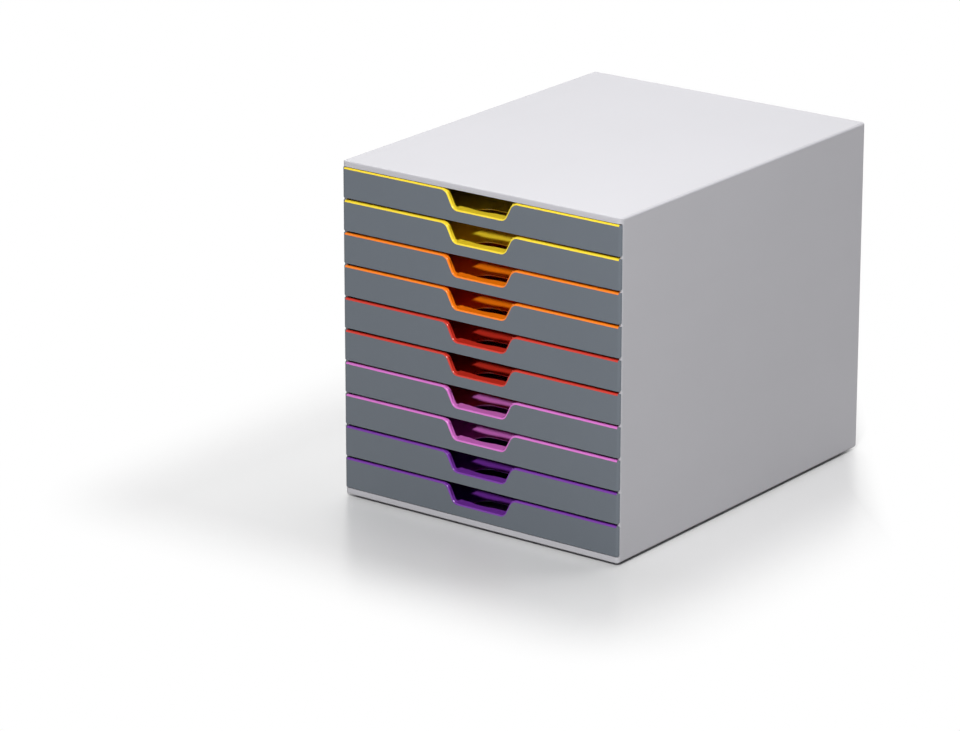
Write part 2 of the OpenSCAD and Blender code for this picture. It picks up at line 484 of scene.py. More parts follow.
class NodeSheet:
    """A node tree that is filled in from left to right."""

    SPACING = 190

    def __init__(self, tree: bpy.types.NodeTree) -> None:
        """Starts with an empty tree.

        Args:
            tree: The tree that is filled in.
        """
        self.tree = tree
        tree.nodes.clear()
        self._column = 0

    def add(self, kind: str, **settings: object) -> bpy.types.Node:
        """Adds a node.

        Args:
            kind: The node's type name, without ShaderNode.
            settings: Values for its properties.

        Returns:
            The node.
        """
        prefix = "" if kind.startswith("NodeGroup") else "ShaderNode"
        node = self.tree.nodes.new(prefix + kind)
        node.location = (self._column * self.SPACING, 0)
        self._column += 1
        for key, value in settings.items():
            setattr(node, key, value)
        return node

    def join(self, source: bpy.types.NodeSocket, target: bpy.types.NodeSocket) -> None:
        """Links two sockets."""
        self.tree.links.new(source, target)

    def math(self, operation: str, first: object, second: object = 0.0) -> bpy.types.NodeSocket:
        """Adds a Math node.

        Args:
            operation: Its operation.
            first: A socket or a number.
            second: A socket or a number.

        Returns:
            Its result.
        """
        node = self.add("Math", operation=operation)
        self._feed(node, (first, second))
        return node.outputs[0]

    def vector(self, operation: str, *values: object) -> bpy.types.Node:
        """Adds a Vector Math node.

        Args:
            operation: Its operation.
            values: What it takes, each a socket or a vector.

        Returns:
            The node.
        """
        node = self.add("VectorMath", operation=operation)
        self._feed(node, values)
        return node

    def soft_step(self, value: bpy.types.NodeSocket, low: float, high: float) -> bpy.types.NodeSocket:
        """Adds a soft step.

        Args:
            value: What is stepped.
            low: Where the step leaves 0.
            high: Where it reaches 1.

        Returns:
            Its result.
        """
        step = self.add("MapRange", interpolation_type="SMOOTHSTEP")
        step.inputs["From Min"].default_value = low
        step.inputs["From Max"].default_value = high
        self.join(value, step.inputs["Value"])
        return step.outputs[0]

    def _feed(self, node: bpy.types.Node, values: Sequence[object]) -> None:
        """Gives a node's inputs their values, in order.

        Args:
            node: The node.
            values: A socket, a number or a vector for each input.
        """
        for socket, value in zip(node.inputs, values):
            if isinstance(value, bpy.types.NodeSocket):
                self.join(value, socket)
            else:
                socket.default_value = value


class SurfaceEffects:
    """Shader groups that more than one plastic uses."""

    CLOUD_SHARE = 0.3  # The cloud's scale, as a share of the grain's.
    STREAK_SHARE = 5.0  # The streaks' scale, as a multiple of the drift's.
    # The edge mask also paints a highlight: full wear here means a full painted highlight too.
    EDGE_GAIN = 6.0  # How soon the lean of a broken edge counts as full wear.

    def __init__(self) -> None:
        """Builds each group once."""
        self.grain = self._grain()
        self.drift = self._drift()
        self.edges = self._edges()

    @staticmethod
    def _group(
        name: str, inputs: dict[str, float], outputs: dict[str, str]
    ) -> tuple[bpy.types.NodeTree, NodeSheet, bpy.types.Node, bpy.types.Node]:
        """Starts a group.

        Args:
            name: The group's name.
            inputs: Each number input and its first value.
            outputs: Each output and its socket type.

        Returns:
            The tree, its sheet, and its input and output nodes.
        """
        tree = bpy.data.node_groups.new(name, "ShaderNodeTree")
        for label, value in inputs.items():
            socket = tree.interface.new_socket(label, in_out="INPUT", socket_type="NodeSocketFloat")
            socket.default_value = value
        for label, kind in outputs.items():
            tree.interface.new_socket(label, in_out="OUTPUT", socket_type=kind)
        sheet = NodeSheet(tree)
        return tree, sheet, sheet.add("NodeGroupInput"), sheet.add("NodeGroupOutput")

    def _grain(self) -> bpy.types.NodeTree:
        """Makes the fine spark-eroded grain of a moulded face.

        Returns:
            A group that puts out a height.
        """
        tree, sheet, given, result = self._group(
            "moulded_grain", {"Pitch per metre": 1800.0, "Unevenness": 0.35}, {"Height": "NodeSocketFloat"}
        )
        place = sheet.add("TexCoord")
        cells = sheet.add("TexVoronoi", feature="SMOOTH_F1")
        cells.inputs["Smoothness"].default_value = 0.6
        cloud = sheet.add("TexNoise")
        cloud.inputs["Detail"].default_value = 3
        for node in (cells, cloud):
            sheet.join(place.outputs["Object"], node.inputs["Vector"])
        sheet.join(given.outputs["Pitch per metre"], cells.inputs["Scale"])
        cloud_scale = sheet.math("MULTIPLY", given.outputs["Pitch per metre"], self.CLOUD_SHARE)
        sheet.join(cloud_scale, cloud.inputs["Scale"])
        uneven = sheet.math("MULTIPLY", cloud.outputs[0], given.outputs["Unevenness"])
        sheet.join(sheet.math("ADD", cells.outputs["Distance"], uneven), result.inputs["Height"])
        return tree

    def _drift(self) -> bpy.types.NodeTree:
        """Makes the slow cloudy change that a large moulded wall shows.

        Returns:
            A group that puts out a mask about 0.5.
        """
        tree, sheet, given, result = self._group(
            "slow_drift", {"Scale per metre": 9.0, "Streak": 0.4}, {"Mask": "NodeSocketFloat"}
        )
        place = sheet.add("TexCoord")
        broad = sheet.add("TexNoise")
        broad.inputs["Detail"].default_value = 2
        sheet.join(place.outputs["Object"], broad.inputs["Vector"])
        sheet.join(given.outputs["Scale per metre"], broad.inputs["Scale"])
        flow = sheet.add("Mapping")
        flow.inputs["Scale"].default_value = (1.0, 0.08, 1.0)
        streaks = sheet.add("TexNoise")
        streaks.inputs["Detail"].default_value = 4
        sheet.join(place.outputs["Object"], flow.inputs["Vector"])
        sheet.join(flow.outputs[0], streaks.inputs["Vector"])
        streak_scale = sheet.math("MULTIPLY", given.outputs["Scale per metre"], self.STREAK_SHARE)
        sheet.join(streak_scale, streaks.inputs["Scale"])
        streaked = sheet.math("MULTIPLY", streaks.outputs[0], given.outputs["Streak"])
        total = sheet.math("ADD", broad.outputs[0], streaked)
        share = sheet.math("ADD", given.outputs["Streak"], 1.0)
        sheet.join(sheet.math("DIVIDE", total, share), result.inputs["Mask"])
        return tree

    def _edges(self) -> bpy.types.NodeTree:
        """Makes a mask of the outer edges, where handling polishes the plastic and its colour is paled,
        partly as wear and partly as a painted highlight.

        Returns:
            A group that puts out a mask.
        """
        tree, sheet, given, result = self._group(
            "handled_and_highlit_edges", {"Reach": 0.6, "Breakup": 0.5}, {"Mask": "NodeSocketFloat"}
        )
        bend = sheet.add("Bevel", samples=4)
        sheet.join(sheet.math("MULTIPLY", given.outputs["Reach"], MM), bend.inputs["Radius"])
        flat = sheet.add("NewGeometry")
        lean = sheet.vector("DOT_PRODUCT", bend.outputs[0], flat.outputs["True Normal"])
        away = sheet.math("SUBTRACT", 1.0, lean.outputs["Value"])
        place = sheet.add("TexCoord")
        patches = sheet.add("TexNoise")
        patches.inputs["Scale"].default_value = 60
        sheet.join(place.outputs["Object"], patches.inputs["Vector"])
        broken = sheet.math("MULTIPLY", patches.outputs[0], given.outputs["Breakup"])
        kept = sheet.math("SUBTRACT", 1.0, broken)
        raised = sheet.math("MULTIPLY", sheet.math("MULTIPLY", away, self.EDGE_GAIN), kept)
        sheet.join(sheet.math("MINIMUM", raised, 1.0), result.inputs["Mask"])
        return tree


@dataclass(frozen=True)
class PlasticFinish:
    """A moulded plastic and the way its face was finished."""

    slot: str
    colour: Colour
    roughness: float = 0.45
    roughness_spread: float = 0.03
    colour_spread: float = 0.04
    grain_per_metre: float = 1800.0
    grain_height: float = 0.010
    edge_shine: float = 0.01
    # The next two pale the colour at the edges, partly as wear and partly as a painted highlight.
    edge_wear_and_highlight: float = 0.06
    rub_and_highlight: float = 0.25
    bump_strength: float = 0.5

    def build(self, effects: SurfaceEffects) -> bpy.types.Material:
        """Makes the material.

        Args:
            effects: The shared shader groups.

        Returns:
            The material, named after the finish's slot.
        """
        material = bpy.data.materials.new(self.slot)
        material.use_nodes = True
        sheet = NodeSheet(material.node_tree)
        drift = sheet.add("Group", node_tree=effects.drift)
        edges = sheet.add("Group", node_tree=effects.edges)
        grain = sheet.add("Group", node_tree=effects.grain)
        grain.inputs["Pitch per metre"].default_value = self.grain_per_metre
        shader = sheet.add("BsdfPrincipled")
        output = sheet.add("OutputMaterial")

        tone = sheet.add("Mix", data_type="RGBA")
        dark = [c * (1 - self.colour_spread) for c in self.colour]
        pale = [min(1.0, c * (1 + self.colour_spread)) for c in self.colour]
        tone.inputs[6].default_value = (*dark, 1)
        tone.inputs[7].default_value = (*pale, 1)
        sheet.join(drift.outputs["Mask"], tone.inputs[0])
        # Pales the colour at the edges, partly as wear and partly as a painted highlight.
        worn_and_highlit = sheet.add("Mix", data_type="RGBA")
        rubbed_and_highlit = [c + (1 - c) * self.rub_and_highlight for c in self.colour]
        worn_and_highlit.inputs[7].default_value = (*rubbed_and_highlit, 1)
        sheet.join(tone.outputs[2], worn_and_highlit.inputs[6])
        sheet.join(sheet.math("MULTIPLY", edges.outputs["Mask"], self.edge_wear_and_highlight), worn_and_highlit.inputs[0])
        sheet.join(worn_and_highlit.outputs[2], shader.inputs["Base Color"])

        centred = sheet.math("SUBTRACT", drift.outputs["Mask"], 0.5)
        wander = sheet.math("MULTIPLY", centred, 2 * self.roughness_spread)
        polished = sheet.math("MULTIPLY", edges.outputs["Mask"], -self.edge_shine)
        base = sheet.math("ADD", wander, self.roughness)
        sheet.join(sheet.math("ADD", base, polished), shader.inputs["Roughness"])

        bump = sheet.add("Bump")
        bump.inputs["Strength"].default_value = self.bump_strength
        bump.inputs["Distance"].default_value = self.grain_height * MM
        sheet.join(grain.outputs["Height"], bump.inputs["Height"])
        sheet.join(bump.outputs[0], shader.inputs["Normal"])

        sheet.join(shader.outputs[0], output.inputs["Surface"])
        return material


class Finish(Enum):
    """The tower's finishes."""

    CASING = PlasticFinish("casing_grey", linear(188, 187, 192), roughness=0.32, grain_height=0.004)
    COVER = PlasticFinish("cover_grey", linear(99, 106, 114), roughness=0.36, colour_spread=0.05)
    RACK = PlasticFinish("rack_grey", linear(176, 177, 182), roughness=0.5)
    RUBBER = PlasticFinish(
        "foot_rubber", linear(44, 44, 46), roughness=0.75, grain_height=0.03, edge_shine=0.0
    )
    YELLOW = PlasticFinish("tray_yellow", linear(255, 222, 52), roughness=0.2)
    ORANGE = PlasticFinish("tray_orange", linear(255, 130, 16), roughness=0.2)
    RED = PlasticFinish("tray_red", linear(204, 51, 36), roughness=0.2)
    PINK = PlasticFinish("tray_pink", linear(214, 116, 203), roughness=0.2)
    PURPLE = PlasticFinish("tray_purple", linear(116, 50, 158), roughness=0.2)


class PaintShop:
    """Keeps one material for each finish and dresses pieces in them."""

    def __init__(self) -> None:
        """Builds the shared effects."""
        self.effects = SurfaceEffects()
        self._made: dict[Finish, bpy.types.Material] = {}

    def dress(self, thing: bpy.types.Object, finish: Finish) -> None:
        """Gives an object one finish all over.

        Args:
            thing: The object.
            finish: Its finish.
        """
        if finish not in self._made:
            self._made[finish] = finish.value.build(self.effects)
        thing.data.materials.clear()
        thing.data.materials.append(self._made[finish])


def settle(piece: Workpiece, body: str, finish: Finish, shop: PaintShop, *nodes: str) -> None:
    """Dresses a finished piece and hangs it on the frame.

    Args:
        piece: The piece, in its place.
        body: The body that it rides on.
        finish: Its finish.
        shop: Where the finish comes from.
        nodes: The frame's nodes that it stands for.
    """
    shop.dress(piece.object, finish)
    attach(piece.object, body)
    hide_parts(*nodes)
    LOG.info("%s: %d faces, on %s", piece.object.name, len(piece.object.data.polygons), body)


def node_box(node: str) -> tuple[Point, Point]:
    """Gives a frame node's lowest and highest corners in millimetres."""
    low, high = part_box(node)
    return tuple(low / MM), tuple(high / MM)


@dataclass
class Casing:
    """The one-piece shell round the drawers, with its rear panel."""

    wall: float = 2.8
    long_edge_r: float = 2.2
    front_edge_r: float = 1.1
    rear_r: float = 3.0
    lip_corner_r: float = 4.0
    base_lip: float = 5.3
    top_lip: float = 4.9
    lip_depth: float = 5.0
    side_setback: float = 2.3
    edge_flats: int = 6
    shell_break: float = 0.35
    panel_break: float = 0.5
    past: float = 1.0
    body: str = "casing"

    def build(self, shop: PaintShop) -> None:
        """Builds and dresses the shell and the rear panel.

        Args:
            shop: Where the finish comes from.
        """
        low, high = node_box("casing_shell")
        shell = self._block(low, high)
        self._open(shell, low, high)
        shell.soften(self.shell_break)
        settle(shell, self.body, Finish.CASING, shop, "casing_shell")

        panel_low, panel_high = node_box("rear_panel")
        panel = Workpiece("rear_panel_sheet", panel_low, panel_high)
        corners = [(x, z) for x in (panel_low[0], panel_high[0]) for z in (panel_low[2], panel_high[2])]
        panel.round_edges(edges_along(Axis.Y, corners), self.long_edge_r, FEW_FLATS)
        panel.soften(self.panel_break, 3)
        settle(panel, self.body, Finish.CASING, shop, "rear_panel")

    def _block(self, low: Point, high: Point) -> Workpiece:
        """Makes the solid outer form, its edges rounded by their own radii.

        Args:
            low: Its lowest corner.
            high: Its highest corner.

        Returns:
            The block.
        """
        block = Workpiece("casing_moulding", low, high)
        (x0, y0, z0), (x1, y1, z1) = low, high
        radii = [
            (edges_along(Axis.Z, [(x0, y0), (x1, y0)]), self.lip_corner_r),
            (edges_along(Axis.Z, [(x0, y1), (x1, y1)]), self.rear_r),
            (edges_along(Axis.Y, [(x0, z0), (x1, z0), (x0, z1), (x1, z1)]), self.long_edge_r),
            (edges_along(Axis.X, [(y0, z0), (y0, z1)]), self.front_edge_r),
            (edges_along(Axis.X, [(y1, z0)]), self.rear_r),
            (edges_along(Axis.X, [(y1, z1)]), self.long_edge_r),
        ]
        widest = max(radius for _, radius in radii)
        mesh = block.object.data
        weights = mesh.attributes.new("bevel_weight_edge", "FLOAT", "EDGE")
        for edge in mesh.edges:
            start, end = (mesh.vertices[v].co / MM for v in edge.vertices)
            for test, radius in radii:
                if test(start, end):
                    weights.data[edge.index].value = radius / widest
        block._select()
        bevel = block.object.modifiers.new("outer_edges", "BEVEL")
        bevel.width = widest * MM
        bevel.segments = self.edge_flats
        bevel.limit_method = "WEIGHT"
        bpy.ops.object.modifier_apply(modifier=bevel.name)
        return block

    def _open(self, shell: Workpiece, low: Point, high: Point) -> None:
        """Hollows the block and sets its side walls back behind the covers.

        Args:
            shell: The block.
            low: Its lowest corner.
            high: Its highest corner.
        """
        (x0, y0, z0), (x1, y1, z1) = low, high
        lip_z0, lip_z1 = z0 + self.base_lip, z1 - self.top_lip
        inner = Workpiece(
            "hollow",
            (x0 + self.wall, y0 + self.lip_depth, z0 + self.wall),
            (x1 - self.wall, y1 + self.past, z1 - self.wall),
        )
        shell.combine(inner, Blend.CUT)
        mouth = Workpiece(
            "mouth",
            (x0 + self.wall, y0 - self.past, lip_z0),
            (x1 - self.wall, y0 + self.lip_depth + self.past, lip_z1),
        )
        shell.combine(mouth, Blend.CUT)
        setback = Workpiece(
            "setback",
            (x0 - self.past, y0 - self.past, lip_z0),
            (x1 + self.past, y0 + self.side_setback, lip_z1),
        )
        shell.combine(setback, Blend.CUT)


@dataclass
class RunnerRacks:
    """The plates of ledges and stop blocks, which keep the frame's own solids."""

    ending: str = "_rack"

    def dress(self, shop: PaintShop, nodes: dict[str, bpy.types.Object]) -> None:
        """Dresses every rack.

        Args:
            shop: Where the finish comes from.
            nodes: The frame's node objects by name.
        """
        for name, thing in nodes.items():
            if name.endswith(self.ending):
                shop.dress(thing, Finish.RACK)
                LOG.info("%s: the frame's own solid, dressed", name)


@dataclass
class Foot:
    """One rubber disc under the casing."""

    node: str
    edge: float = 0.6
    dish: float = 0.3
    dish_rim: float = 2.0
    sides: int = 48
    body: str = "casing"

    def build(self, shop: PaintShop) -> None:
        """Builds and dresses the foot.

        Args:
            shop: Where the finish comes from.
        """
        low, high = node_box(self.node)
        middle = tuple((l + h) / 2 for l, h in zip(low, high))
        radius = (high[0] - low[0]) / 2
        foot = Workpiece.disc(f"{self.node}_pad", middle, radius, high[2] - low[2], self.sides)
        under = faces_towards((0, 0, -1), (low[0], low[1], low[2]), (high[0], high[1], low[2]))
        foot.inset(under, self.dish_rim)
        centre = faces_towards(
            (0, 0, -1), (middle[0], middle[1], low[2]), (middle[0], middle[1], low[2])
        )
        foot.pull(centre, (0, 0, self.dish))
        foot.soften(self.edge, 3)
        settle(foot, self.body, Finish.RUBBER, shop, self.node)


@dataclass(frozen=True)
class Grip:
    """The trapezoid finger grip, the same on every drawer."""

    half_top: float = 34.0
    half_bottom: float = 26.0
    floor: float = 8.8
    cover_top: float = 24.4
    corner_r: float = 6.5
    face: float = 1.3
    most: float = 0.9

    @property
    def slope(self) -> float:
        """Gives the angle of the grip's sides from the vertical, in radians."""
        return math.atan2(self.half_top - self.half_bottom, self.cover_top - self.floor)

    def half(self, height: float, inset: float) -> float:
        """Gives the grip's half width.

        Args:
            height: The height above the cover's lower edge.
            inset: How far the outline is moved in.

        Returns:
            The half width there.
        """
        widening = (height - self.floor) * math.tan(self.slope)
        return self.half_bottom + widening - inset / math.cos(self.slope)

    def setback(self, radius: float) -> float:
        """Gives how far from a corner its rounding starts, for a radius."""
        return radius * math.tan((math.pi / 2 - self.slope) / 2)

    def lining_edges(self, front: float) -> EdgeTest:
        """Makes a test for the front edge of the lining, from rim to rim.

        Args:
            front: The drawer's front plane.

        Returns:
            A test of an edge's two ends, in millimetres.
        """
        bend = self.cover_top - self.corner_r / 2

        def on_lining(point: Vector) -> bool:
            """Tells whether a point is on the lining's front edge."""
            if abs(point.y - front) > TOUCH or point.z < self.floor + self.most * self.face:
                return False
            inset = (self.half(point.z, 0) - abs(point.x)) * math.cos(self.slope)
            if point.z > self.cover_top + 2 * TOUCH:
                return True
            return inset > (2 * TOUCH if point.z > bend else self.most * self.face)

        return lambda start, end: on_lining(start) and on_lining(end)

    def cutter(self, front: float, rear: float, top: float, inset: float) -> Workpiece:
        """Makes the solid that fills the grip.

        Args:
            front: Its front plane.
            rear: Its rear plane.
            top: Its height.
            inset: How far its outline is moved in.

        Returns:
            The solid, with its lower corners rounded.
        """
        low = self.floor + inset
        narrow, wide = self.half(low, inset), self.half(top, inset)
        block = Workpiece("grip_cutter", (-narrow, front, low), (narrow, rear, top))
        lid = faces_towards((0, 0, 1), (-narrow, front, top), (narrow, rear, top))
        block.stretch(lid, (wide / narrow, 1, 1), (0, (front + rear) / 2, top))
        corners = edges_along(Axis.Y, [(-narrow, low), (narrow, low)])
        return block.round_edges(corners, self.setback(self.corner_r - inset))


@dataclass
class DrawerFront:
    """The outline that the cover and the tray's rim share."""

    front: float
    grip: Grip = field(default_factory=Grip)
    half_w: float = 139.7
    rim_half_w: float = 137.6
    thickness: float = 2.0
    height: float = 25.8
    foot_r: float = 1.5
    past: float = 1.0

    def plate(self, name: str, front: float) -> Workpiece:
        """Makes the cover's plate, notched for the rim and the grip.

        Args:
            name: The plate's name.
            front: Its front plane.

        Returns:
            The plate, with sharp edges.
        """
        grip = self.grip
        rear = self.front + self.thickness
        plate = Workpiece(name, (-self.half_w, front, 0), (self.half_w, rear, self.height))
        feet = edges_along(Axis.Y, [(-self.half_w, 0), (self.half_w, 0)])
        plate.round_edges(feet, self.foot_r, FEW_FLATS)
        recess = Workpiece(
            "recess",
            (-self.rim_half_w, front - self.past, grip.cover_top),
            (self.rim_half_w, rear + self.past, self.height + self.past),
        )
        plate.combine(recess, Blend.CUT)
        plate.combine(grip.cutter(front - self.past, rear + self.past, self.height, 0), Blend.CUT)
        shoulders = [(-grip.half_top, grip.cover_top), (grip.half_top, grip.cover_top)]
        return plate.round_edges(edges_along(Axis.Y, shoulders), grip.setback(grip.corner_r))


@dataclass
class FrontCover:
    """The grey face of a drawer, with the tabs that hold it on its tray."""

    outline: DrawerFront
    end_w: float = 3.4
    clip_xs: tuple[float, ...] = (-118.0, -60.0, 60.0, 118.0)
    clip_z: float = 12.0
    clip_w: float = 10.0
    clip_t: float = 2.0
    clip_len: float = 2.9
    clip_root: float = 0.5
    barb_h: float = 0.7
    barb_len: float = 0.9
    oval_sides: int = 64
    edge: float = 0.4

    def model(self) -> Workpiece:
        """Makes the cover once, with its lower edge at height 0.

        Returns:
            The cover.
        """
        shape = self.outline
        plate = shape.plate("cover_master", shape.front)
        for side in Side:
            plate.combine(self._end_waste(side), Blend.CUT)
        rear = shape.front + shape.thickness
        for x in self.clip_xs:
            tab = Workpiece(
                "tab",
                (x - self.clip_w / 2, rear - self.clip_root, self.clip_z),
                (x + self.clip_w / 2, rear + self.clip_len, self.clip_z + self.clip_t),
            )
            hook = faces_towards(
                (0, 0, -1),
                (x - shape.past, rear + self.clip_len - self.barb_len, self.clip_z),
                (x + shape.past, rear + self.clip_len, self.clip_z),
            )
            tab.split(Axis.Y, [rear + self.clip_len - self.barb_len])
            tab.pull(hook, (0, 0, -self.barb_h))
            plate.combine(tab, Blend.FUSE)
        return plate.soften(self.edge, 3)

    def _end_waste(self, side: Side) -> Workpiece:
        """Makes what is cut off one end so that it rounds back.

        Args:
            side: The side of that end.

        Returns:
            The waste.
        """
        shape = self.outline
        past = shape.past
        outer = side.value * (shape.half_w + past)
        inner = side.value * (shape.half_w - self.end_w)
        rear = shape.front + shape.thickness
        waste = Workpiece(
            "end_waste",
            (min(outer, inner), shape.front - past, -past),
            (max(outer, inner), rear, shape.height + past),
        )
        oval = Workpiece.disc(
            "oval",
            (inner, rear, shape.height / 2),
            shape.thickness,
            shape.height + 4 * past,
            self.oval_sides,
        )
        oval.stretch(any_face, (self.end_w / shape.thickness, 1, 1), (inner, rear, 0))
        return waste.combine(oval, Blend.CUT)


@dataclass
class Tray:
    """The coloured tray of a drawer, whose mesh isn't quite the same in every run."""

    outline: DrawerFront
    rear: float = 169.0
    half_w: float = 130.4
    wall: float = 1.8
    floor: float = 0.6
    corner_r: float = 6.0
    floor_fillet: float = 1.4
    rear_h: float = 21.0
    dip_d: float = 4.0
    flange_half_w: float = 134.8
    flange_front: float = -171.0
    flange_t: float = 1.8
    front_half_w: float = 136.6
    ledge_d: float = 10.0
    ledge_spare: float = 0.2
    ledge_side_spare: float = 9.0
    rim_sink: float = 0.4
    lining_roll: float = 1.1
    scallop_x: float = -3.5
    scallop_half_w: float = 13.0
    scallop_d: float = 1.8
    scallop_z: float = 0.6
    scallop_h: float = 3.4
    scallop_sides: int = 96
    hole_half_w: float = 25.0
    hole_far: float = 39.5
    hole_r: float = 12.0
    hole_flats: int = 10
    hole_near_r: float = 2.0
    hole_top: float = 4.0
    hole_land: float = 0.4
    hole_flare: float = 1.2
    lug_y: float = 157.0
    lug_len: float = 6.0
    lug_reach: float = 3.2
    lug_z: float = 14.7
    lug_h: float = 5.7
    clip_gap: float = 0.15
    seam: float = 0.01
    edge: float = 0.3

    def model(self, cover: FrontCover) -> Workpiece:
        """Makes the tray once, for a cover whose lower edge is at height 0.

        Args:
            cover: The cover that snaps on it.

        Returns:
            The tray.
        """
        tray = self._tub()
        self._add_front(tray)
        self._cut_front(tray, cover)
        self._add_lugs(tray)
        tray.soften(self.edge)
        self._cut_floor(tray)
        return tray.even()

    def _tub(self) -> Workpiece:
        """Makes the floor, the walls and the flanges along the sides.

        Returns:
            The tub.
        """
        past = self.outline.past
        front = self.outline.front + self.outline.thickness
        top = self.outline.grip.cover_top
        low, high = (-self.half_w, front, self.floor), (self.half_w, self.rear, top)
        tub = Workpiece("tray_master", low, high)
        rear_corners = [(-self.half_w, self.rear), (self.half_w, self.rear)]
        tub.round_edges(edges_along(Axis.Z, rear_corners), self.corner_r)
        tub.split(Axis.Z, [top - self.flange_t])
        tub.split(Axis.Y, [self.flange_front, self.rear - self.corner_r - self.seam])
        for side in Side:
            x = side.value * self.half_w
            band = faces_towards(
                (side.value, 0, 0),
                (x, self.flange_front, top - self.flange_t),
                (x, self.rear - self.corner_r, top),
            )
            tub.pull(band, (side.value * (self.flange_half_w - self.half_w), 0, 0))
        tub.tidy()
        hollow = Workpiece(
            "hollow",
            (-self.half_w + self.wall, front + self.wall, self.floor + self.wall),
            (self.half_w - self.wall, self.rear - self.wall, top + past),
        )
        inner_corners = [(s.value * (self.half_w - self.wall), self.rear - self.wall) for s in Side]
        hollow.round_edges(edges_along(Axis.Z, inner_corners), self.corner_r - self.wall)
        bottom = self.floor + self.wall

        def at_bottom(start: Vector, end: Vector) -> bool:
            """Tells whether an edge lies on the floor."""
            return max(abs(start.z - bottom), abs(end.z - bottom)) < TOUCH

        hollow.round_edges(at_bottom, self.floor_fillet, FEW_FLATS)
        tub.combine(hollow, Blend.CUT)
        dip = Workpiece(
            "dip",
            (-self.half_w + 2 * self.corner_r, self.rear - self.dip_d, self.rear_h),
            (self.half_w - 2 * self.corner_r, self.rear + past, top + past),
        )
        return tub.combine(dip, Blend.CUT)

    def _add_front(self, tray: Workpiece) -> None:
        """Adds the front wall, the rim that caps the cover, and the ledge's blank.

        Args:
            tray: The tray.
        """
        shape, grip, past = self.outline, self.outline.grip, self.outline.past
        wall_front = shape.front + shape.thickness
        wall = Workpiece(
            "front_wall",
            (-self.front_half_w, wall_front, self.floor),
            (self.front_half_w, wall_front + self.wall, shape.height),
        )
        tray.combine(wall, Blend.FUSE)
        rim = Workpiece(
            "rim",
            (-shape.rim_half_w, shape.front, grip.floor - past),
            (shape.rim_half_w, wall_front + self.rim_sink, shape.height),
        )
        rim.combine(shape.plate("blank", shape.front - shape.past), Blend.CUT)
        under = Workpiece(
            "under_rim",
            (-shape.rim_half_w - past, wall_front - self.seam, grip.floor - 2 * past),
            (shape.rim_half_w + past, wall_front + 2 * past, grip.cover_top),
        )
        rim.combine(under, Blend.CUT)
        tray.combine(rim, Blend.FUSE)
        ledge = grip.cutter(shape.front, shape.front + self.ledge_d, shape.height, 0)
        reach = grip.half_top + self.ledge_side_spare
        above = Workpiece(
            "above_ledge",
            (-reach, shape.front - past, grip.floor + grip.face + self.ledge_spare),
            (reach, shape.front + self.ledge_d + past, shape.height + past),
        )
        ledge.combine(above, Blend.CUT)
        tray.combine(ledge, Blend.FUSE)

    def _cut_front(self, tray: Workpiece, cover: FrontCover) -> None:
        """Opens the grip, scallops the ledge and cuts the slots for the cover's tabs.

        Args:
            tray: The tray.
            cover: The cover whose tabs go into the slots.
        """
        shape, grip, past = self.outline, self.outline.grip, self.outline.past
        opening = grip.cutter(
            shape.front - past, shape.front + self.ledge_d + past, shape.height + 2 * past, grip.face
        )
        tray.combine(opening, Blend.CUT)
        shoulder = grip.half(shape.height, grip.face)
        spots = [(-shoulder, shape.height), (shoulder, shape.height)]
        tray.round_edges(edges_along(Axis.Y, spots), grip.setback(grip.corner_r + grip.face))
        tray.round_edges(grip.lining_edges(shape.front), self.lining_roll, FEW_FLATS)
        radius = (self.scallop_half_w**2 + self.scallop_d**2) / (2 * self.scallop_d)
        middle_y = shape.front + self.ledge_d - self.scallop_d + radius
        middle = (self.scallop_x, middle_y, grip.floor + self.scallop_z)
        bite = Workpiece.disc("scallop", middle, radius, self.scallop_h, self.scallop_sides)
        tray.combine(bite, Blend.CUT)
        wall_front = shape.front + shape.thickness
        gap = self.clip_gap
        slot_rear = wall_front + self.wall + past / 2
        for x in cover.clip_xs:
            slot = Workpiece(
                "slot",
                (x - cover.clip_w / 2 - gap, wall_front - past, cover.clip_z - cover.barb_h - gap),
                (x + cover.clip_w / 2 + gap, slot_rear, cover.clip_z + cover.clip_t + gap),
            )
            tray.combine(slot, Blend.CUT)

    def _cut_floor(self, tray: Workpiece) -> None:
        """Cuts the thumb hole behind the ledge, its underside flared.

        Args:
            tray: The tray.
        """
        front, half, low = self.outline.front, self.hole_half_w, -self.outline.past
        near, far = front + self.ledge_d, front + self.hole_far
        hole = Workpiece("thumb_hole", (-half, near, low), (half, far, self.hole_top))
        far_corners = edges_along(Axis.Z, [(-half, far), (half, far)])
        hole.round_edges(far_corners, self.hole_r, self.hole_flats)
        near_corners = edges_along(Axis.Z, [(-half, near), (half, near)])
        hole.round_edges(near_corners, self.hole_near_r, FEW_FLATS)
        hole.split(Axis.Z, [self.floor + self.wall - self.hole_land])
        under = faces_towards((0, 0, -1), (-half, near, low), (half, far, low))
        hole.stretch(under, (self.hole_flare, self.hole_flare, 1), (0, near, low))
        tray.combine(hole, Blend.CUT)

    def _add_lugs(self, tray: Workpiece) -> None:
        """Adds the stop lug on each side at the rear.

        Args:
            tray: The tray.
        """
        for side in Side:
            inner = side.value * (self.half_w - self.wall / 2)
            outer = side.value * (self.half_w + self.lug_reach)
            lug = Workpiece(
                "lug",
                (min(inner, outer), self.lug_y, self.lug_z),
                (max(inner, outer), self.lug_y + self.lug_len, self.lug_z + self.lug_h),
            )
            tray.combine(lug, Blend.FUSE)


